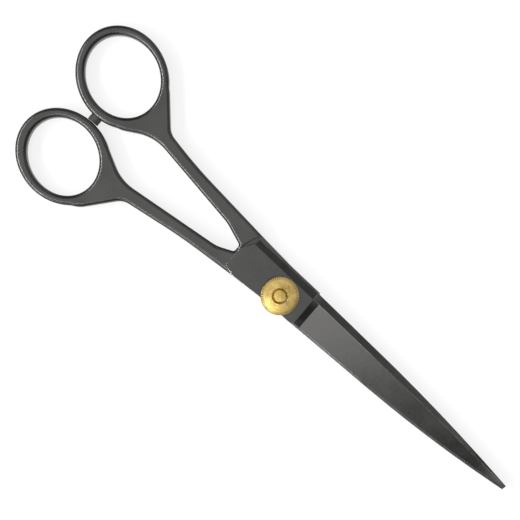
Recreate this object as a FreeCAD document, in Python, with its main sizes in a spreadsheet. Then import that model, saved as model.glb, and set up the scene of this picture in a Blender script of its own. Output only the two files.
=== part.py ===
import FreeCAD, Part
import math
import os
import re

import Sketcher

# Hair cutting shears: two forged steel halves crossing at an adjustable pivot.
#
# Frame: the pivot axis is Z. +X runs to the blade tips, -X to the rings, +Y to the side of
# the finger ring. z = 0 is the flat back of the finger half, which the shears rest on.
# The finger half lies below, the thumb half above it, and both are shown closed.

# ---------------------------------------------------------------- driving dimensions, mm

SIZES = {
    # thicknesses
    "lap_thick": 2.6,            # each half where the two lie on each other
    "lap_gap": 0.05,             # running gap between the two laps
    "handle_end_thick": 4.3,     # handles at the back of the rings
    "handle_round": 1.0,         # rounding along the handle edges
    "web_blend": 5.0,            # vertical blend where a shank meets its ring
    # rings: centre behind and beside the pivot, the hole's axes, the band at its ends and
    # sides; both ellipses are tilted, in degrees
    "finger_ring_x": 76.45,
    "finger_ring_y": 19.35,
    "finger_hole_tilt": 24.0,
    "finger_hole_long": 24.9,
    "finger_hole_wide": 21.6,
    "finger_band_ends": 3.0,
    "finger_band_sides": 2.6,
    "finger_rim_tilt": 26.6,
    "finger_rim_drop": 0.25,     # the rim's centre lies this far below the hole's
    "ring_stagger": 1.75,        # the thumb ring lies this far in front of the finger ring
    "thumb_ring_y": 9.8,
    "thumb_hole_tilt": 20.0,
    "thumb_hole_long": 23.75,
    "thumb_hole_wide": 20.5,
    "thumb_band_ends": 3.2,
    "thumb_band_sides": 2.85,
    "thumb_rim_tilt": 9.0,
    # web between ring and shank, from the ring's centre: where its edges leave the ring, and
    # the hips where they turn towards the shank
    "finger_web_outer_x": 9.6,
    "finger_web_outer_y": 8.6,
    "finger_hip_outer_x": 13.2,
    "finger_hip_outer_y": 5.6,
    "finger_web_inner_x": 3.5,
    "finger_web_inner_y": 13.4,
    "finger_hip_inner_x": 9.8,
    "finger_hip_inner_y": 12.25,
    "thumb_web_outer_x": 6.7,
    "thumb_web_outer_y": 11.2,
    "thumb_hip_outer_x": 13.0,
    "thumb_hip_outer_y": 8.6,
    "thumb_web_inner_x": 1.2,
    "thumb_web_inner_y": 12.6,
    "thumb_hip_inner_x": 5.4,
    "thumb_hip_inner_y": 12.1,
    "hip_round": 8.0,
    # shanks: the necks lie this far in front of the ring's centre, the middle this far in
    # front of the neck and the knee behind the pivot; edges are measured from the pivot line
    "finger_neck_outer_run": 21.45,
    "finger_neck_outer": 15.7,
    "finger_neck_inner_run": 18.25,
    "finger_neck_inner": 11.85,
    "finger_mid_run": 11.5,
    "finger_mid_outer": 13.25,
    "finger_knee_x": 25.5,
    "finger_knee_inner": 6.4,
    "finger_crotch_knee": 3.75,
    "finger_lap_outer": 9.97,
    "thumb_neck_outer_run": 21.6,
    "thumb_neck_outer": 8.25,
    "thumb_neck_inner_run": 17.5,
    "thumb_neck_inner": 4.15,
    "thumb_mid_run": 20.1,
    "thumb_mid_outer": 5.55,
    "thumb_knee_x": 23.5,
    "thumb_knee_inner": 0.75,
    "thumb_crotch_knee": -1.35,
    "thumb_lap_outer": 4.4,
    "neck_round_outer": 5.5,
    "neck_round_inner": 14.0,
    "mid_round": 150.0,
    "knee_round": 11.0,
    # crotch, where the two shanks meet, and the half-lap in front of it
    "crotch_x": 18.55,
    "crotch_y": 3.0,
    "crotch_gap": 0.06,          # each half stays this far off the crotch line
    "crotch_round": 0.9,
    "step_radius": 18.3,         # wall of the round pocket that clears the other half's tail
    "lap_end_x": 14.0,           # the shanks run this far into the lap
    "tail_start_x": 17.9,        # the tail end slants from here to its corner
    "tail_corner_x": 14.9,
    "tail_slant": 0.3,
    "finger_tail_rise": 3.0,     # how far across the slants run
    "thumb_tail_rise": 3.9,
    "tail_drop": 1.17,           # the thumb half's tail corner lies this far inside the other
    "body_top": 8.85,            # edges of the pivot body just behind the pivot
    "body_bottom": 3.95,
    "body_x": 3.0,
    "body_round": 60.0,
    # blades
    "blade_length": 86.6,        # from the pivot to the tips
    "heel_x": 8.2,
    "heel_top": 8.25,
    "heel_notch": 0.4,
    "top_belly_x": 58.0,         # the blade's sides bend here, along the rounds
    "top_belly_round": 640.0,
    "low_belly_x": 61.0,
    "low_belly_round": 430.0,
    "top_heel": 7.86,            # the thumb half's spine, +Y side
    "top_belly": 4.54,
    "top_tip": 0.25,
    "low_heel": 4.1,             # the finger half's spine, -Y side
    "low_belly": 4.05,
    "low_tip": 1.2,
    "edge_inset": 0.45,          # each cutting edge stops this far inside the other's spine
    "flank_tail": 1.8,           # width of the flank between ridge and spine
    "flank_heel": 2.4,
    "flank_belly": 1.55,
    "flank_tip": 0.15,
    "edge_thick": 0.15,          # thickness at the cutting edge, at the ridge and at the spine
    "ridge_thick_heel": 2.3,
    "ridge_thick_belly": 1.75,
    "ridge_thick_tip": 0.9,
    "spine_share": 0.6,
    "shoulder_run": 2.2,         # slope in front of the pivot face
    # pivot screw and bush
    "journal_dia": 4.8,
    "thread_dia": 4.0,
    "head_dia": 6.4,
    "head_rim": 0.35,
    "head_height": 1.2,
    "slot_wide": 0.9,
    "slot_deep": 0.7,
    "stud_height": 2.9,          # stud above the thumb half's face
    "stud_point": 0.2,
    "stud_chamfer": 0.35,
    "key_flat": 0.3,             # depth of the flat along the thread
    "bush_wall": 0.8,
    "running_fit": 0.03,         # radial clearance of turning and sliding fits
    "spring_fit": 0.15,          # radial clearance of the spring washer on the thread
    "seat_gap": 0.02,            # between faces that bear on each other
    # washers and nut
    "spring_dia": 9.0,
    "spring_wall": 0.3,
    "spring_rise": 0.6,          # height of the dished washer as it is tensioned
    "washer_dia": 9.4,
    "washer_thick": 0.5,
    "nut_dia": 11.2,
    "nut_rim": 1.25,             # height of the knurled rim
    "nut_crown": 0.35,           # rise of the coned top from rim to bore
    "nut_chamfer": 0.25,
    "nut_mouth": 0.35,
    "nut_line_wide": 0.3,        # index line across the top
    "nut_line_deep": 0.35,
    "knurl_count": 60,
    "knurl_deep": 0.16,
    # stop between the rings
    "bumper_dia": 3.6,
    "bumper_seat": 0.3,          # depth of the flat seat in the finger ring
    "bumper_gap": 0.04,          # to the thumb ring when closed
    "bumper_stem": 1.5,          # diameter
}

# Heights that several pieces share.
FULL = "(2 * lap_thick + lap_gap)"
MIDDLE = f"{FULL} / 2"
SPRING_FOOT = f"{FULL} + seat_gap"
WASHER_FOOT = f"{SPRING_FOOT} + spring_rise + seat_gap"
NUT_FOOT = f"{WASHER_FOOT} + washer_thick + seat_gap"
NUT_TOP = f"{NUT_FOOT} + nut_rim + nut_crown"
STUD_TOP = f"{FULL} + stud_height"
BORE = "thread_dia / 2 + running_fit"
OVERRUN = 10                     # cutters reach this far past what they cut
BESIDE = 1                       # and this far past the blade's sides
LEAST_CUT = 1e-4                 # mm3, below which a cut counts as having missed

doc = FreeCAD.newDocument("hair_cutting_shears")
sheet = doc.addObject("Spreadsheet::Sheet", "Sizes")
for row, (alias, size) in enumerate(SIZES.items(), start=1):
    sheet.set(f"A{row}", alias)
    sheet.set(f"B{row}", str(size))
    sheet.setAlias(f"B{row}", alias)
doc.recompute()

# ---------------------------------------------------------------- small helpers


def bound(text):
    """The expression with each size's name pointed at its cell in the sheet."""
    return re.sub(r"[a-z_]+", lambda m: f"Sizes.{m[0]}" if m[0] in SIZES else m[0], text)


def number(text):
    """What an expression comes to with the sheet's present sizes."""
    found = sheet.evalExpression(bound(text))
    return float(getattr(found, "Value", found))


def new_body(label):
    body = doc.addObject("PartDesign::Body", label)
    body.Label = label
    return body


def new_sketch(body, name, plane="XY_Plane", offset="0"):
    """A sketch on one of the body's own planes, moved along the plane's normal."""
    sketch = body.newObject("Sketcher::SketchObject", f"{body.Label}_{name}")
    origin = next(f for f in body.Origin.OriginFeatures if f.Role == plane)
    sketch.AttachmentSupport = [(origin, "")]
    sketch.MapMode = "FlatFace"
    sketch.setExpression("AttachmentOffset.Base.z", bound(offset))
    return sketch


def drive(sketch, kind, *where, text):
    """A dimension whose value is an expression over the sheet."""
    index = sketch.addConstraint(Sketcher.Constraint(kind, *where, number(text)))
    sketch.setExpression(f"Constraints[{index}]", bound(text))


def place(sketch, geometry, end, x, y):
    drive(sketch, "DistanceX", -1, 1, geometry, end, text=x)
    drive(sketch, "DistanceY", -1, 1, geometry, end, text=y)


def outline(sketch, corners):
    """A closed outline of straight runs. A corner is (x, y) or (x, y, radius)."""
    points = [FreeCAD.Vector(number(c[0]), number(c[1]), 0) for c in corners]
    radii = [number(c[2]) if len(c) > 2 else 0.0 for c in corners]
    count = len(points)
    starts, ends, arcs = [], [], {}
    for i, point in enumerate(points):
        back = (points[i - 1] - point).normalize()
        ahead = (points[(i + 1) % count] - point).normalize()
        half_turn = back.getAngle(ahead) / 2
        reach = radii[i] / math.tan(half_turn) if radii[i] else 0.0
        ends.append(point + back * reach)
        starts.append(point + ahead * reach)
        if radii[i]:
            bisector = (back + ahead).normalize()
            arcs[i] = point + bisector * (radii[i] / math.sin(half_turn))
    lines = [
        sketch.addGeometry(Part.LineSegment(starts[i], ends[(i + 1) % count]))
        for i in range(count)
    ]
    for i, corner in enumerate(corners):
        before, after = lines[i - 1], lines[i]
        if i not in arcs:
            sketch.addConstraint(Sketcher.Constraint("Coincident", before, 2, after, 1))
            place(sketch, after, 1, corner[0], corner[1])
            continue
        tip = sketch.addGeometry(Part.Point(points[i]), True)
        place(sketch, tip, 1, corner[0], corner[1])
        sketch.addConstraint(Sketcher.Constraint("PointOnObject", tip, 1, before))
        sketch.addConstraint(Sketcher.Constraint("PointOnObject", tip, 1, after))
        into, out = ends[i] - arcs[i], starts[i] - arcs[i]
        left_turn = into.cross(out).z > 0
        first, last = (into, out) if left_turn else (out, into)
        circle = Part.Circle(arcs[i], FreeCAD.Vector(0, 0, 1), radii[i])
        arc = sketch.addGeometry(Part.ArcOfCircle(
            circle, math.atan2(first.y, first.x), math.atan2(last.y, last.x)))
        head, foot = (1, 2) if left_turn else (2, 1)
        sketch.addConstraint(Sketcher.Constraint("Tangent", before, 2, arc, head))
        sketch.addConstraint(Sketcher.Constraint("Tangent", arc, foot, after, 1))
        drive(sketch, "Radius", arc, text=corner[2])


def circle(sketch, x, y, diameter):
    round_edge = sketch.addGeometry(Part.Circle(
        FreeCAD.Vector(number(x), number(y), 0), FreeCAD.Vector(0, 0, 1),
        number(diameter) / 2))
    place(sketch, round_edge, 3, x, y)
    drive(sketch, "Diameter", round_edge, text=diameter)


def ellipse(sketch, x, y, long_axis, wide_axis, tilt):
    """An ellipse whose long axis is turned clockwise by tilt degrees."""
    centre = FreeCAD.Vector(number(x), number(y), 0)
    turn = math.radians(-number(tilt))
    ahead = FreeCAD.Vector(math.cos(turn), math.sin(turn), 0)
    side = FreeCAD.Vector(-ahead.y, ahead.x, 0)
    curve = sketch.addGeometry(Part.Ellipse(
        centre + ahead * (number(long_axis) / 2),
        centre + side * (number(wide_axis) / 2), centre))
    sketch.exposeInternalGeometry(curve)
    long_line, wide_line = curve + 1, curve + 2
    place(sketch, curve, 3, x, y)
    drive(sketch, "Distance", long_line, text=long_axis)
    drive(sketch, "Distance", wide_line, text=wide_axis)
    start = sketch.Geometry[long_line].StartPoint
    backwards = (start - centre).dot(ahead) > 0
    turned = f"180 deg - {tilt} * 1 deg" if backwards else f"-{tilt} * 1 deg"
    index = sketch.addConstraint(Sketcher.Constraint(
        "Angle", long_line, math.radians(180 - number(tilt) if backwards else -number(tilt))))
    sketch.setExpression(f"Constraints[{index}]", bound(turned))


def feature(body, kind, name, sketch, **settings):
    made = body.newObject(f"PartDesign::{kind}", f"{body.Label}_{name}")
    made.Profile = sketch
    for key, setting in settings.items():
        if isinstance(setting, str) and key in ("Length", "Angle"):
            made.setExpression(key, bound(setting))
        else:
            setattr(made, key, setting)
    sketch.Visibility = False
    doc.recompute()
    return made


def pad(body, name, sketch, length):
    return feature(body, "Pad", name, sketch, Length=length)


def pocket(body, name, sketch, length, upwards=True, midplane=False):
    """Cut along the sketch's normal. It must remove something."""
    before = body.Shape.Volume
    made = feature(body, "Pocket", name, sketch, Length=length, Reversed=upwards,
                   Midplane=midplane)
    if body.Shape.Volume > before - LEAST_CUT:
        raise RuntimeError(f"{made.Name} removes nothing")
    return made


def cut_between(body, name, sketches):
    """Remove the straight-ruled volume that runs through the sketches in turn."""
    before = body.Shape.Volume
    made = feature(body, "SubtractiveLoft", name, sketches[0], Sections=sketches[1:],
                   Ruled=True)
    if body.Shape.Volume > before - LEAST_CUT:
        raise RuntimeError(f"{made.Name} removes nothing")


def round_edges(body, name, edges, radius):
    base = body.Tip
    made = body.newObject("PartDesign::Fillet", f"{body.Label}_{name}")
    made.Base = (base, edges)
    made.setExpression("Radius", bound(radius))
    doc.recompute()


def edge_names(shape, wanted):
    return [f"Edge{i}" for i, edge in enumerate(shape.Edges, start=1) if wanted(edge)]


def spin(body, name, corners, cut=False):
    """Turn an outline (radius, z) about the pivot axis."""
    sketch = new_sketch(body, f"{name}_profile", "XZ_Plane")
    outline(sketch, corners)
    axis = next(f for f in body.Origin.OriginFeatures if f.Role == "Z_Axis")
    kind = "Groove" if cut else "Revolution"
    return feature(body, kind, name, sketch, ReferenceAxis=(axis, [""]))


# ---------------------------------------------------------------- the two halves

# The halves are alike, turned over about X: the finger half has its ring at +Y and lies
# below, the thumb half has its ring at -Y and lies on top. SIDE is the ring's side.
SIDE = {"finger": "", "thumb": "-"}


def depth(who, text):
    """The height of a point that lies this deep behind the half's inner face."""
    if who == "finger":
        return f"lap_thick - ({text})"
    return f"lap_thick + lap_gap + ({text})"


# The rings' centres behind the pivot, and the rims' centres across X.
RING_X = {"finger": "(-finger_ring_x)", "thumb": "(ring_stagger - finger_ring_x)"}
RIM_Y = {"finger": "(finger_ring_y - finger_rim_drop)", "thumb": "(-thumb_ring_y)"}


def ring_reach(who):
    """Half the extent across X of a ring's rim, and how far off centre its ends are."""
    long_half = f"({who}_hole_long / 2 + {who}_band_ends)"
    wide_half = f"({who}_hole_wide / 2 + {who}_band_sides)"
    sine, cosine = f"sin({who}_rim_tilt * 1 deg)", f"cos({who}_rim_tilt * 1 deg)"
    reach = f"sqrt(({long_half} * {sine}) ^ 2 + ({wide_half} * {cosine}) ^ 2)"
    shift = f"(({long_half} ^ 2 - {wide_half} ^ 2) * {sine} * {cosine} / {reach})"
    return reach, shift


def handle(body, who):
    """Ring, web and shank at full thickness, with rounded edges, as far as the lap."""
    side = SIDE[who]
    own, other = ("+", "-") if who == "finger" else ("-", "+")
    sketch = new_sketch(body, "rim_outline")
    ring_x, ring_y = RING_X[who], f"{side}{who}_ring_y"
    ellipse(sketch, ring_x, RIM_Y[who], f"{who}_hole_long + 2 * {who}_band_ends",
            f"{who}_hole_wide + 2 * {who}_band_sides", f"{who}_rim_tilt")
    pad(body, "ring", sketch, FULL)

    sketch = new_sketch(body, "shank_outline")
    neck_x = f"{ring_x} + {who}_neck_outer_run"
    outline(sketch, [
        (ring_x, ring_y),
        (f"{ring_x} + {who}_web_outer_x", f"{ring_y} {own} {who}_web_outer_y"),
        (f"{ring_x} + {who}_hip_outer_x", f"{ring_y} {own} {who}_hip_outer_y", "hip_round"),
        (neck_x, f"{side}{who}_neck_outer", "neck_round_outer"),
        (f"{neck_x} + {who}_mid_run", f"{side}{who}_mid_outer", "mid_round"),
        ("-lap_end_x", f"{side}{who}_lap_outer"),
        ("-lap_end_x", f"crotch_y * lap_end_x / crotch_x {own} crotch_gap"),
        ("-crotch_x", f"crotch_y {own} crotch_gap"),
        ("-crotch_x", f"{side}{who}_crotch_knee", "crotch_round"),
        (f"-{who}_knee_x", f"{side}{who}_knee_inner", "knee_round"),
        (f"{ring_x} + {who}_neck_inner_run", f"{side}{who}_neck_inner", "neck_round_inner"),
        (f"{ring_x} + {who}_hip_inner_x", f"{ring_y} {other} {who}_hip_inner_y", "hip_round"),
        (f"{ring_x} + {who}_web_inner_x", f"{ring_y} {other} {who}_web_inner_y"),
    ])
    pad(body, "shank", sketch, FULL)

    neck, crotch = number(neck_x), -number("crotch_x")

    def meets_ring(edge):
        box = edge.BoundBox
        return box.ZLength > number(FULL) / 2 and box.XMax < neck
    round_edges(body, "web_round", edge_names(body.Shape, meets_ring), "web_blend")
    sketch = new_sketch(body, "hole_outline")
    ellipse(sketch, ring_x, ring_y, f"{who}_hole_long", f"{who}_hole_wide",
            f"{who}_hole_tilt")
    pocket(body, "ring_hole", sketch, FULL)

    # The handle thins evenly from the lap to the back of the rings, on both faces.
    back = "-(finger_ring_x + finger_hole_long / 2 + finger_band_ends)"
    drop = f"({FULL} - handle_end_thick) / 2"
    for name, face, out in (("top", FULL, "+"), ("bottom", "0", "-")):
        inward = "-" if out == "+" else "+"
        sketch = new_sketch(body, f"{name}_taper", "XZ_Plane")
        outline(sketch, [
            ("-lap_end_x", face),
            (back, f"{face} {inward} {drop}"),
            (back, f"{face} {out} {OVERRUN}"),
            ("-lap_end_x", f"{face} {out} {OVERRUN}"),
        ])
        pocket(body, f"{name}_thinning", sketch, "2 * blade_length", midplane=True)

    def is_handle_edge(edge):
        box = edge.BoundBox
        flat = box.ZLength < number(FULL) / 2
        return flat and edge.CenterOfMass.x < crotch + number("crotch_gap")
    round_edges(body, "edge_round", edge_names(body.Shape, is_handle_edge), "handle_round")


def lap_and_blade(body, who, foot, corners):
    """The half's flat lap with its blade, and the pocket that clears the other's tail."""
    sketch = new_sketch(body, "lap_outline", offset=foot)
    outline(sketch, corners)
    pad(body, "lap", sketch, "lap_thick")
    sketch = new_sketch(body, "step_outline", offset=depth(who, "0"))
    circle(sketch, "0", "0", "2 * step_radius")
    pocket(body, "step", sketch, FULL, upwards=who == "finger")


def blade_side(side, place):
    """Distance of the blade's side from the pivot line, at the heel, belly or tip."""
    if place != "belly":
        return f"{side}_{place}"
    before = f"({side}_heel - {side}_belly) / ({side}_belly_x - heel_x)"
    after = f"({side}_belly - {side}_tip) / (blade_length - {side}_belly_x)"
    return f"({side}_belly - {side}_belly_round * (({after}) - ({before})) ^ 2 / 8)"


def spine_and_edge(who, place):
    """Signed distances of spine, ridge and cutting edge from the pivot line."""
    top, low = blade_side("top", place), blade_side("low", place)
    if who == "finger":
        return f"-{low}", f"-({low} - flank_{place})", f"{top} - edge_inset"
    return top, f"{top} - flank_{place}", f"-({low} - edge_inset)"


def section(body, who, name, at, points):
    """A cutting section across the blade: (beside, depth) points, open outwards."""
    past = f"lap_thick + {OVERRUN}"
    sketch = new_sketch(body, name, "YZ_Plane", offset=at)
    outline(sketch, [(y, depth(who, t)) for y, t in
                     points + [(points[-1][0], past), (points[0][0], past)]])
    return sketch


def grind(body, who):
    """The outer faces of the blade: one long bevel up to a ridge, and a flank to the spine."""
    outward = "-" if who == "finger" else "+"
    inward = "+" if who == "finger" else "-"
    spine, ridge, edge = spine_and_edge(who, "heel")
    sections = [section(body, who, "shoulder_section", "heel_x", [
        (f"{edge} {inward} {BESIDE}", "lap_thick"), (edge, "lap_thick"),
        (ridge, "lap_thick"), (spine, "ridge_thick_heel * spine_share"),
        (f"{spine} {outward} {BESIDE}", "ridge_thick_heel * spine_share"),
    ])]
    stations = (("heel", "heel_x + shoulder_run"), ("belly", "top_belly_x"),
                ("tip", "blade_length + edge_inset"))
    for place, at in stations:
        spine, ridge, edge = spine_and_edge(who, place)
        sections.append(section(body, who, f"{place}_section", at, [
            (f"{edge} {inward} {BESIDE}", "edge_thick"), (edge, "edge_thick"),
            (ridge, f"ridge_thick_{place}"),
            (spine, f"ridge_thick_{place} * spine_share"),
            (f"{spine} {outward} {BESIDE}", f"ridge_thick_{place} * spine_share"),
        ]))
    cut_between(body, "bevel", sections)


def finger_side():
    body = new_body("finger_half")
    handle(body, "finger")
    lap_and_blade(body, "finger", "0", [
        ("-tail_corner_x", "-thumb_lap_outer"),
        ("-body_x", "-body_bottom"),
        ("heel_x", "-low_heel"),
        ("low_belly_x", "-low_belly", "low_belly_round"),
        ("blade_length", "-low_tip"),
        ("blade_length", "top_tip - edge_inset"),
        ("top_belly_x", "top_belly - edge_inset", "top_belly_round"),
        ("heel_x + 2 * heel_notch", "top_heel - edge_inset"),
        ("heel_x + heel_notch", "heel_top"),
        ("-body_x", "body_top", "body_round"),
        ("-lap_end_x", "finger_lap_outer"),
        ("-tail_start_x", "finger_lap_outer - tail_drop"),
        ("-tail_start_x", "crotch_y - crotch_gap"),
        ("-(tail_corner_x + tail_slant)", "crotch_y - crotch_gap - finger_tail_rise"),
    ])
    grind(body, "finger")
    spin(body, "screw_hole", [
        ("0", f"-{OVERRUN}"), ("head_dia / 2", f"-{OVERRUN}"), ("head_dia / 2", "head_rim"),
        ("journal_dia / 2", "head_height"), ("journal_dia / 2", f"lap_thick + {OVERRUN}"),
        ("0", f"lap_thick + {OVERRUN}"),
    ], cut=True)
    pocket(body, "bumper_seat", bumper_sketch(body, "bumper_dia"), f"{OVERRUN}")
    pocket(body, "bumper_hole", bumper_sketch(body, "bumper_stem"),
           "2 * finger_band_sides", upwards=False)
    return body


def thumb_side():
    body = new_body("thumb_half")
    handle(body, "thumb")
    lap_and_blade(body, "thumb", "lap_thick + lap_gap", [
        ("-tail_corner_x", "finger_lap_outer - tail_drop"),
        ("-(tail_corner_x + tail_slant)", "crotch_y + crotch_gap + thumb_tail_rise"),
        ("-tail_start_x", "crotch_y + crotch_gap"),
        ("-tail_start_x", "-thumb_lap_outer + tail_drop"),
        ("-lap_end_x", "-thumb_lap_outer"),
        ("-body_x", "-body_bottom"),
        ("heel_x - 2 * heel_notch", "-low_heel"),
        ("heel_x - heel_notch", "-(low_heel - edge_inset)"),
        ("low_belly_x", "-(low_belly - edge_inset)", "low_belly_round"),
        ("blade_length", "-(low_tip - edge_inset)"),
        ("blade_length", "top_tip"),
        ("top_belly_x", "top_belly", "top_belly_round"),
        ("heel_x", "top_heel"),
    ])
    grind(body, "thumb")
    # The flank beside the ridge runs on along the pivot body to the tail.
    tail = "finger_lap_outer - tail_drop"
    cut_between(body, "body_flank", [
        section(body, "thumb", "tail_section", "-tail_start_x", [
            (f"{tail} - flank_tail", "lap_thick"),
            (f"{tail} + {BESIDE}", "lap_thick * spine_share")]),
        section(body, "thumb", "front_section", "heel_x", [
            ("top_heel - flank_heel", "lap_thick"),
            (f"top_heel + {BESIDE}", "lap_thick * spine_share")]),
    ])
    sketch = new_sketch(body, "bush_seat", offset="lap_thick")
    circle(sketch, "0", "0", BUSH_DIA)
    pocket(body, "bush_bore", sketch, f"{OVERRUN}")
    return body


# ---------------------------------------------------------------- the stop between the rings

FINGER_REACH, FINGER_SHIFT = ring_reach("finger")
THUMB_REACH = ring_reach("thumb")[0]
BUMPER_X = f"{RING_X['finger']} + {FINGER_SHIFT}"
BUMPER_SEAT = f"({RIM_Y['finger']} - {FINGER_REACH} + bumper_seat)"
BUMPER_END = f"({RIM_Y['thumb']} + {THUMB_REACH} + bumper_gap)"


def bumper_sketch(body, diameter):
    """A circle at the seat in the finger ring's outer wall. Its normal points to -Y."""
    sketch = new_sketch(body, f"{diameter}_outline", "XZ_Plane", offset=f"-{BUMPER_SEAT}")
    circle(sketch, BUMPER_X, MIDDLE, diameter)
    return sketch


def stop_bumper():
    body = new_body("stop_bumper")
    pad(body, "head", bumper_sketch(body, "bumper_dia"), f"{BUMPER_SEAT} - {BUMPER_END}")
    feature(body, "Pad", "stem", bumper_sketch(body, "bumper_stem"),
            Length="finger_band_sides - bumper_seat", Reversed=True)
    return body


# ---------------------------------------------------------------- the pivot

BUSH_DIA = "(journal_dia + 2 * (running_fit + bush_wall))"


def pivot_screw():
    body = new_body("pivot_screw")
    shoulder = f"{FULL} - seat_gap"
    spin(body, "turned", [
        ("0", "0"), ("head_dia / 2", "0"), ("head_dia / 2", "head_rim"),
        ("journal_dia / 2", "head_height"), ("journal_dia / 2", shoulder),
        ("thread_dia / 2", shoulder),
        ("thread_dia / 2", f"{STUD_TOP} - stud_point - stud_chamfer"),
        ("thread_dia / 2 - stud_chamfer", f"{STUD_TOP} - stud_point"),
        ("0", STUD_TOP),
    ])
    sketch = new_sketch(body, "slot_outline")
    outline(sketch, [
        ("-head_dia", "-slot_wide / 2"), ("head_dia", "-slot_wide / 2"),
        ("head_dia", "slot_wide / 2"), ("-head_dia", "slot_wide / 2"),
    ])
    pocket(body, "slot", sketch, "slot_deep")
    sketch = new_sketch(body, "flat_outline", offset=shoulder)
    outline(sketch, [
        ("thread_dia / 2 - key_flat", "-thread_dia"), ("thread_dia", "-thread_dia"),
        ("thread_dia", "thread_dia"), ("thread_dia / 2 - key_flat", "thread_dia"),
    ])
    pocket(body, "key_flat", sketch, f"{OVERRUN}")
    return body


def pivot_bush():
    body = new_body("pivot_bush")
    foot, head = "lap_thick + lap_gap + seat_gap", f"{FULL} - seat_gap"
    inner = "journal_dia / 2 + running_fit"
    spin(body, "sleeve", [
        (inner, foot), (f"{BUSH_DIA} / 2", foot), (f"{BUSH_DIA} / 2", head), (inner, head),
    ])
    return body


def spring_washer():
    body = new_body("spring_washer")
    inner, outer = "thread_dia / 2 + spring_fit", "spring_dia / 2"
    spin(body, "dish", [
        (outer, SPRING_FOOT), (outer, f"{SPRING_FOOT} + spring_wall"),
        (inner, f"{SPRING_FOOT} + spring_rise"),
        (inner, f"{SPRING_FOOT} + spring_rise - spring_wall"),
    ])
    return body


def thrust_washer():
    """A washer with a D-shaped hole, which the flat on the thread keeps from turning."""
    body = new_body("thrust_washer")
    sketch = new_sketch(body, "outline", offset=WASHER_FOOT)
    circle(sketch, "0", "0", "washer_dia")
    pad(body, "disc", sketch, "washer_thick")
    sketch = new_sketch(body, "hole_outline", offset=WASHER_FOOT)
    flat = number("thread_dia / 2 - key_flat + running_fit")
    radius = number(BORE)
    spread = math.acos(flat / radius)
    arc = sketch.addGeometry(Part.ArcOfCircle(
        Part.Circle(FreeCAD.Vector(), FreeCAD.Vector(0, 0, 1), radius),
        spread, 2 * math.pi - spread))
    half_chord = radius * math.sin(spread)
    chord = sketch.addGeometry(Part.LineSegment(
        FreeCAD.Vector(flat, -half_chord, 0), FreeCAD.Vector(flat, half_chord, 0)))
    sketch.addConstraint(Sketcher.Constraint("Coincident", arc, 3, -1, 1))
    sketch.addConstraint(Sketcher.Constraint("Coincident", arc, 2, chord, 1))
    sketch.addConstraint(Sketcher.Constraint("Coincident", chord, 2, arc, 1))
    sketch.addConstraint(Sketcher.Constraint("Vertical", chord))
    drive(sketch, "Radius", arc, text=BORE)
    drive(sketch, "DistanceX", -1, 1, chord, 1, text="thread_dia / 2 - key_flat + running_fit")
    pocket(body, "d_hole", sketch, "washer_thick")
    return body


def tension_nut():
    body = new_body("tension_nut")
    radius = "nut_dia / 2"
    spin(body, "turned", [
        (BORE, NUT_FOOT), (f"{radius} - nut_chamfer", NUT_FOOT),
        (radius, f"{NUT_FOOT} + nut_chamfer"), (radius, f"{NUT_FOOT} + nut_rim - nut_chamfer"),
        (f"{radius} - nut_chamfer", f"{NUT_FOOT} + nut_rim"),
        (f"{BORE} + nut_mouth", NUT_TOP), (BORE, f"{NUT_TOP} - nut_mouth"),
    ])
    sketch = new_sketch(body, "line_outline", offset=f"{NUT_TOP} - nut_crown - nut_line_deep")
    outline(sketch, [
        ("-nut_line_wide / 2", "0"), ("nut_line_wide / 2", "0"),
        ("nut_line_wide / 2", "nut_dia"), ("-nut_line_wide / 2", "nut_dia"),
    ])
    pocket(body, "index_line", sketch, f"{OVERRUN}")
    sketch = new_sketch(body, "notch_outline", offset=NUT_FOOT)
    outline(sketch, [
        (f"{radius} - knurl_deep", "0"), (f"{radius} + knurl_deep", "-2 * knurl_deep"),
        (f"{radius} + knurl_deep", "2 * knurl_deep"),
    ])
    notch = pocket(body, "notch", sketch, "nut_rim")
    knurl = body.newObject("PartDesign::PolarPattern", "tension_nut_knurl")
    knurl.Originals = [notch]
    knurl.Axis = (next(f for f in body.Origin.OriginFeatures if f.Role == "Z_Axis"), [""])
    knurl.Angle = 360
    knurl.setExpression("Occurrences", bound("knurl_count"))
    body.Tip = knurl
    doc.recompute()
    return body


# ---------------------------------------------------------------- build, check and write

PIECES = [
    finger_side(), thumb_side(), stop_bumper(), pivot_screw(), pivot_bush(),
    spring_washer(), thrust_washer(), tension_nut(),
]
doc.recompute()

for item in doc.Objects:
    if {"Invalid", "Error"} & set(item.State):
        raise RuntimeError(f"{item.Name} failed: {item.State}")

os.makedirs("parts", exist_ok=True)
for piece in PIECES:
    shape = piece.Shape
    if shape.isNull() or not shape.isValid() or len(shape.Solids) != 1:
        raise RuntimeError(f"{piece.Label} is not one sound solid")
    shape.exportStep(f"parts/{piece.Label}.step")
    print(f"{piece.Label}: {shape.Volume:.2f} mm3, {shape.BoundBox}")
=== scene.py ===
import math

import bpy
from mathutils import Matrix, Vector


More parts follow.
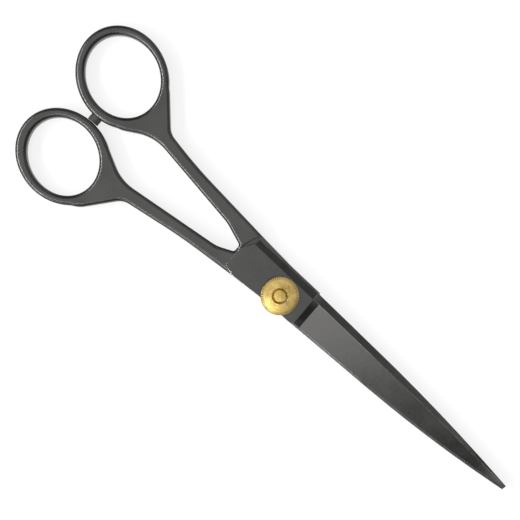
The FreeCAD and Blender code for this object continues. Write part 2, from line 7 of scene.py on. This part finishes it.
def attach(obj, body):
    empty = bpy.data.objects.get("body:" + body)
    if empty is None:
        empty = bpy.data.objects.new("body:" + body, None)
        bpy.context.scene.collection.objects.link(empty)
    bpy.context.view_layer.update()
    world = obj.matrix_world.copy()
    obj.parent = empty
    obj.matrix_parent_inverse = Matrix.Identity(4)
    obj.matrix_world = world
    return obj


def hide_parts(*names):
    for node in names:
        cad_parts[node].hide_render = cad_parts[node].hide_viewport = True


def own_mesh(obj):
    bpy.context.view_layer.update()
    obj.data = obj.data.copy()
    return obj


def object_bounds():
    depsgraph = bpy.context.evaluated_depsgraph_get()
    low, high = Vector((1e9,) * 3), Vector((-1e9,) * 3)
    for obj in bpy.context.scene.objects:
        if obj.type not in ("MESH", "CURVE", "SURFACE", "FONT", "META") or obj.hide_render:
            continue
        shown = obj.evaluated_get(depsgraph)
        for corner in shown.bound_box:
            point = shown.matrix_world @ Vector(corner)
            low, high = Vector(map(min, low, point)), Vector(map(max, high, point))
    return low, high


# Hair cutting shears lying closed on a pale floor, seen from straight above.
# Lengths are in metres. Frame: +X to the blade tips, +Y to the finger ring, +Z up.

MM = 0.001

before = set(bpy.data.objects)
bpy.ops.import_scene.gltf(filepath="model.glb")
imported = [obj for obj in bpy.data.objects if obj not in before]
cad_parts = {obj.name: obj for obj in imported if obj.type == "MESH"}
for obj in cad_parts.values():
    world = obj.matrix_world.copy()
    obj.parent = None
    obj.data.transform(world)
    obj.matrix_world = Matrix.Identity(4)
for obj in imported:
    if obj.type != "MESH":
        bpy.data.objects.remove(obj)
CAD_BOX = [list(corner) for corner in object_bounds()]
scene = bpy.context.scene

# ---------------------------------------------------------------- camera, floor and light

PICTURE_CENTRE = Vector((-11.13, 4.29, 0)) * MM   # what the middle of the picture looks at
PICTURE_RIGHT = Vector((0.7635, 0.6459, 0)).normalized()
PICTURE_WIDTH = 152.0 * MM                        # the picture's width at the shears
CAMERA_HEIGHT = 400 * MM
SENSOR = 36.0                                     # millimetres, as Blender counts it
NEAREST, FURTHEST = 10 * MM, 10.0                 # the camera sees what lies between these

FLOOR_REACH = 8.0                                 # from the middle to each edge
FLOOR_GAP = 0.02 * MM                             # the floor lies this far below the shears
FLOOR_GREY = 0.2
FLOOR_GLOW = 0.8                                  # lit from within, so shadows stay light

# The surround's strength by height, which is the sine of the elevation: dim up to the lower
# height, then rising to its brightest overhead.
SURROUND = {"From Min": 0.82, "From Max": 0.995, "To Min": 0.22, "To Max": 1.4}

# name: place, width and height, watts, and the point that it faces
LIGHTS = {
    "key": ((-0.02, -0.23, 0.46), (0.20, 0.08), 0.30, Vector((0, 0, 0))),
    "strip": ((-0.28, -0.44, 0.46), (0.5, 0.07), 2.5, PICTURE_CENTRE),
    "strip_left": ((-0.48, -0.16, 0.46), (0.4, 0.07), 1.6, PICTURE_CENTRE),
    "side": ((-0.05, -0.75, 0.35), (0.7, 0.3), 2.0, PICTURE_CENTRE),
    "back": ((0.0, 0.62, 0.42), (0.9, 0.25), 0.8, PICTURE_CENTRE),
}


def add_camera():
    data = bpy.data.cameras.new("camera")
    camera = bpy.data.objects.new("camera", data)
    scene.collection.objects.link(camera)
    level = (CAD_BOX[0][2] + CAD_BOX[1][2]) / 2
    back = Vector((0, 0, 1))
    up = back.cross(PICTURE_RIGHT)
    turn = Matrix((PICTURE_RIGHT, up, back)).transposed().to_4x4()
    camera.matrix_world = Matrix.Translation(
        PICTURE_CENTRE + Vector((0, 0, level + CAMERA_HEIGHT))) @ turn
    data.sensor_width = SENSOR
    data.lens = SENSOR * CAMERA_HEIGHT / PICTURE_WIDTH
    data.clip_start, data.clip_end = NEAREST, FURTHEST
    scene.camera = camera


def add_floor():
    mesh = bpy.data.meshes.new("floor")
    corners = [(x * FLOOR_REACH, y * FLOOR_REACH, 0)
               for x, y in ((-1, -1), (1, -1), (1, 1), (-1, 1))]
    mesh.from_pydata(corners, [], [(0, 1, 2, 3)])
    floor = bpy.data.objects.new("floor", mesh)
    floor.location.z = CAD_BOX[0][2] - FLOOR_GAP
    scene.collection.objects.link(floor)
    material = bpy.data.materials.new("floor")
    material.use_nodes = True
    shader = material.node_tree.nodes["Principled BSDF"]
    shader.inputs["Base Color"].default_value = (FLOOR_GREY, FLOOR_GREY, FLOOR_GREY, 1)
    shader.inputs["Roughness"].default_value = 0.9
    shader.inputs["Specular IOR Level"].default_value = 0.2
    shader.inputs["Emission Color"].default_value = (1, 1, 1, 1)
    shader.inputs["Emission Strength"].default_value = FLOOR_GLOW
    mesh.materials.append(material)


def add_light(name, place, size, watts, aim):
    data = bpy.data.lights.new(name, "AREA")
    data.shape = "RECTANGLE"
    data.size, data.size_y = size
    data.energy = watts
    light = bpy.data.objects.new(name, data)
    light.location = place
    light.rotation_euler = (aim - Vector(place)).to_track_quat("-Z", "Y").to_euler()
    scene.collection.objects.link(light)


def add_world():
    """A soft pale surround, brightest straight overhead."""
    world = bpy.data.worlds.new("studio")
    world.use_nodes = True
    tree = world.node_tree
    background = tree.nodes["Background"]
    background.inputs["Color"].default_value = (1.0, 1.0, 1.0, 1)
    where = tree.nodes.new("ShaderNodeTexCoord")
    part = tree.nodes.new("ShaderNodeSeparateXYZ")
    spread = tree.nodes.new("ShaderNodeMapRange")
    spread.interpolation_type = "SMOOTHSTEP"
    for name, number in SURROUND.items():
        spread.inputs[name].default_value = number
    tree.links.new(where.outputs["Generated"], part.inputs[0])
    tree.links.new(part.outputs["Z"], spread.inputs["Value"])
    tree.links.new(spread.outputs["Result"], background.inputs["Strength"])
    scene.world = world


# ---------------------------------------------------------------- node helpers


BEVEL_SAMPLES = 12
FLAT_ENOUGH = 0.985    # normals whose dot product is above this count as flat ground


class Nodes:
    """A material's node tree, with short calls for the nodes that the finishes use."""

    def __init__(self, name):
        self.material = bpy.data.materials.new(name)
        self.material.use_nodes = True
        self.tree = self.material.node_tree
        self.shader = self.tree.nodes["Principled BSDF"]
        self.where = self.tree.nodes.new("ShaderNodeTexCoord").outputs["Object"]

    def link(self, source, target):
        self.tree.links.new(source, target)

    def add(self, kind, **settings):
        made = self.tree.nodes.new(kind)
        for key, setting in settings.items():
            setattr(made, key, setting)
        return made

    def fill(self, socket, value):
        """Set a socket to a number or colour, or link it to another node's output."""
        if isinstance(value, bpy.types.NodeSocket):
            self.link(value, socket)
        else:
            socket.default_value = value

    def math(self, operation, first, second=0.0, clamp=False):
        made = self.add("ShaderNodeMath", operation=operation, use_clamp=clamp)
        self.fill(made.inputs[0], first)
        self.fill(made.inputs[1], second)
        return made.outputs[0]

    def axes(self):
        """The place's X and Y, in metres."""
        made = self.add("ShaderNodeSeparateXYZ")
        self.link(self.where, made.inputs[0])
        return made.outputs["X"], made.outputs["Y"]

    def reach(self):
        """The distance from the pivot's axis, in metres."""
        flat = self.add("ShaderNodeVectorMath", operation="MULTIPLY")
        self.link(self.where, flat.inputs[0])
        flat.inputs[1].default_value = (1, 1, 0)
        length = self.add("ShaderNodeVectorMath", operation="LENGTH")
        self.link(flat.outputs[0], length.inputs[0])
        return length.outputs["Value"]

    def noise(self, feature_mm, detail=3.0, rough=0.55):
        """Noise from 0 to 1 whose blotches are about feature_mm across."""
        made = self.add("ShaderNodeTexNoise")
        self.link(self.where, made.inputs["Vector"])
        made.inputs["Scale"].default_value = 1 / (feature_mm * MM)
        made.inputs["Detail"].default_value = detail
        made.inputs["Roughness"].default_value = rough
        return made.outputs["Fac"]

    def between(self, value, low, high, out_low=0.0, out_high=1.0):
        made = self.add("ShaderNodeMapRange")
        self.fill(made.inputs["Value"], value)
        ends = {"From Min": low, "From Max": high, "To Min": out_low, "To Max": out_high}
        for name, number in ends.items():
            made.inputs[name].default_value = number
        return made.outputs["Result"]

    def mix(self, share, first, second):
        made = self.add("ShaderNodeMix", data_type="RGBA")
        self.fill(made.inputs["Factor"], share)
        self.fill(made.inputs["A"], first)
        self.fill(made.inputs["B"], second)
        return made.outputs["Result"]

    def edges(self, radius_mm, full_at):
        """A mask, 1 along sharp edges and 0 on flat ground, and the rounded normal.

        The mask compares the two normals by their dot product, and is 1 at full_at.
        """
        bevel = self.add("ShaderNodeBevel", samples=BEVEL_SAMPLES)
        bevel.inputs["Radius"].default_value = radius_mm * MM
        flat = self.add("ShaderNodeNewGeometry").outputs["Normal"]
        dot = self.add("ShaderNodeVectorMath", operation="DOT_PRODUCT")
        self.link(bevel.outputs["Normal"], dot.inputs[0])
        self.link(flat, dot.inputs[1])
        edge_mask = self.between(dot.outputs["Value"], FLAT_ENOUGH, full_at)
        return edge_mask, bevel.outputs["Normal"]

    def bump(self, height, distance_mm, strength=1.0, normal=None):
        made = self.add("ShaderNodeBump")
        made.inputs["Strength"].default_value = strength
        made.inputs["Distance"].default_value = distance_mm * MM
        self.fill(made.inputs["Height"], height)
        if normal is not None:
            self.link(normal, made.inputs["Normal"])
        return made.outputs["Normal"]


def grey(value, warm=0.0):
    """A linear colour, a little towards yellow where warm is above 0."""
    return (value * (1 + warm), value * (1 + warm / 2), value * (1 - warm), 1)


# ---------------------------------------------------------------- finishes

KNURLS = 60                   # teeth round the nut
NUT_REACH = 5.6               # millimetres from the pivot's axis to the nut's rim
TURNING_PITCH = 0.16 * MM     # between the turning marks
CROWN = -6.0                  # the nut's slight dome: its height over the reach squared

# Where edges get a painted highlight, in metres along X and Y, each from nothing to full.
HEEL_HIGHLIGHT_FROM, HEEL_HIGHLIGHT_TO = (6 * MM, 9 * MM), (36 * MM, 24 * MM)        # along the blade's ridge
EDGE_HIGHLIGHT_FROM, EDGE_HIGHLIGHT_TO = (-24 * MM, -18 * MM), (7 * MM, 3 * MM)      # along the lap's outer edge
EDGE_HIGHLIGHT_SIDE = (-3.3 * MM, -4 * MM)


def black_steel():
    """Blackened satin steel: fine grain, cloudy oxide, and bright edges, partly abraded steel
    and partly painted highlight.
    """
    n = Nodes("black_steel")
    dark, light, fleck, bare_and_highlight = grey(0.058), grey(0.072, 0.02), grey(0.085, 0.04), grey(0.5)
    cloud = n.between(n.noise(7.0, detail=4.0), 0.32, 0.68)
    speck = n.between(n.noise(0.55, detail=2.0), 0.3, 0.75)
    oxide = n.mix(cloud, dark, light)
    oxide = n.mix(n.math("MULTIPLY", speck, 0.35), oxide, fleck)
    edge_mask, rounded = n.edges(0.24, 0.95)
    patchy = n.between(n.noise(2.5, detail=3.0), 0.3, 0.62)
    along, across = n.axes()
    # Painted highlight: edges along the blade's ridge by the pivot and along the outer side of
    # the lap are made brighter in colour.
    heel_highlight = n.math("MULTIPLY", n.between(along, *HEEL_HIGHLIGHT_FROM), n.between(along, *HEEL_HIGHLIGHT_TO))
    lap_edge_highlight = n.math("MULTIPLY", n.between(along, *EDGE_HIGHLIGHT_FROM), n.between(along, *EDGE_HIGHLIGHT_TO))
    lap_edge_highlight = n.math("MULTIPLY", lap_edge_highlight, n.between(across, *EDGE_HIGHLIGHT_SIDE))
    wear_and_highlight_share = n.math("ADD", n.math("MULTIPLY", patchy, 0.6), n.math("ADD", heel_highlight, lap_edge_highlight))
    # The bright colour on edges is partly abraded steel and partly painted highlight.
    edge_wear_and_highlight = n.math("MULTIPLY", edge_mask, wear_and_highlight_share, clamp=True)
    n.link(n.mix(edge_wear_and_highlight, oxide, bare_and_highlight), n.shader.inputs["Base Color"])
    grain = n.noise(0.22, detail=3.0)
    satin = n.between(cloud, 0.0, 1.0, 0.26, 0.32)
    rough = n.math("ADD", satin, n.between(grain, 0.3, 0.7, -0.03, 0.04))
    n.link(n.math("SUBTRACT", rough, n.math("MULTIPLY", edge_wear_and_highlight, 0.1)),
           n.shader.inputs["Roughness"])
    n.link(n.bump(grain, 0.003, 0.2, rounded), n.shader.inputs["Normal"])
    n.shader.inputs["Metallic"].default_value = 1.0
    return n.material


def turned_brass():
    """Brass with turning marks round the axis, brown tarnish, and painted shade in the gaps
    between the teeth.
    """
    n = Nodes("turned_brass")
    deep, pale = (0.52, 0.37, 0.115, 1), (0.68, 0.51, 0.19, 1)
    brown, polished, notch_shade = (0.27, 0.17, 0.05, 1), (0.8, 0.68, 0.38, 1), (0.07, 0.045, 0.015, 1)
    across_x, across_y = n.axes()
    reach = n.reach()
    tarnish = n.between(n.noise(2.2, detail=5.0, rough=0.6), 0.42, 0.66)
    bright = n.mix(n.between(n.noise(4.5), 0.35, 0.65), deep, pale)
    edge_mask, rounded = n.edges(0.08, 0.9)
    colour = n.mix(n.math("MULTIPLY", tarnish, 0.55), bright, brown)
    colour = n.mix(n.math("MULTIPLY", edge_mask, 0.5), colour, polished)
    angle = n.math("ARCTAN2", across_y, across_x)
    # Painted shade: the gaps between the knurl teeth at the rim are darkened in colour.
    teeth = n.between(n.math("COSINE", n.math("MULTIPLY", angle, KNURLS)), -0.2, 0.9)
    rim = n.between(reach, (NUT_REACH - 1.0) * MM, (NUT_REACH - 0.6) * MM)
    colour = n.mix(n.math("MULTIPLY", n.math("MULTIPLY", teeth, rim), 0.9), colour, notch_shade)
    n.link(colour, n.shader.inputs["Base Color"])
    turns = n.math("SINE", n.math("MULTIPLY", reach, 2 * math.pi / TURNING_PITCH))
    crown = n.math("MULTIPLY", n.math("MULTIPLY", reach, reach), CROWN)
    domed = n.bump(crown, 1 / MM, 1.0, rounded)
    n.link(n.bump(turns, 0.003, 0.5, domed), n.shader.inputs["Normal"])
    n.link(n.between(tarnish, 0.0, 1.0, 0.2, 0.34), n.shader.inputs["Roughness"])
    n.shader.inputs["Metallic"].default_value = 1.0
    n.shader.inputs["Anisotropic"].default_value = 0.8
    tangent = n.add("ShaderNodeTangent", direction_type="RADIAL", axis="Z")
    n.link(tangent.outputs[0], n.shader.inputs["Tangent"])
    return n.material


def spring_steel():
    """Bright hardened steel with faint cloudy patches."""
    n = Nodes("spring_steel")
    cloud = n.between(n.noise(1.5), 0.35, 0.65)
    n.link(n.mix(cloud, grey(0.33), grey(0.46, 0.03)), n.shader.inputs["Base Color"])
    fine = n.noise(0.1)
    n.link(n.between(fine, 0.3, 0.7, 0.24, 0.36), n.shader.inputs["Roughness"])
    n.link(n.bump(fine, 0.003, 0.4), n.shader.inputs["Normal"])
    n.shader.inputs["Metallic"].default_value = 1.0
    return n.material


def rubber():
    """Grey rubber, slightly olive, with a fine matte skin."""
    n = Nodes("rubber")
    tone = n.between(n.noise(0.9, detail=4.0), 0.3, 0.7)
    n.link(n.mix(tone, grey(0.028, 0.05), grey(0.042, 0.1)), n.shader.inputs["Base Color"])
    skin = n.noise(0.15, detail=3.0)
    n.link(n.between(skin, 0.3, 0.7, 0.5, 0.65), n.shader.inputs["Roughness"])
    n.link(n.bump(skin, 0.01, 0.5), n.shader.inputs["Normal"])
    return n.material


def nylon():
    """Off-white nylon."""
    n = Nodes("nylon")
    tone = n.between(n.noise(1.2), 0.3, 0.7)
    n.link(n.mix(tone, (0.76, 0.74, 0.66, 1), (0.82, 0.80, 0.73, 1)),
           n.shader.inputs["Base Color"])
    n.link(n.between(n.noise(0.2), 0.3, 0.7, 0.4, 0.5), n.shader.inputs["Roughness"])
    return n.material


# ---------------------------------------------------------------- dished washer


def add_dished_washer(finish):
    """The dished washer stands on the thumb half and moves with it."""
    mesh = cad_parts["spring_washer"].data.copy()
    mesh.materials.clear()
    mesh.materials.append(finish)
    dish = bpy.data.objects.new("dished_washer", mesh)
    scene.collection.objects.link(dish)
    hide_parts("spring_washer")
    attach(dish, "thumb")
    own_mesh(dish)


# ---------------------------------------------------------------- which node wears what


def dress():
    steel, brass, plain = black_steel(), turned_brass(), spring_steel()
    finish = {
        "finger_half": steel, "thumb_half": steel,
        "pivot_screw": brass, "tension_nut": brass,
        "thrust_washer": plain,
        "stop_bumper": rubber(), "pivot_bush": nylon(),
    }
    for node, material in finish.items():
        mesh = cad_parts[node].data
        mesh.materials.clear()
        mesh.materials.append(material)
    add_dished_washer(plain)


# ---------------------------------------------------------------- the scene

scene.view_settings.view_transform = "Standard"
dress()
add_camera()
add_floor()
add_world()
for name, facts in LIGHTS.items():
    add_light(name, *facts)
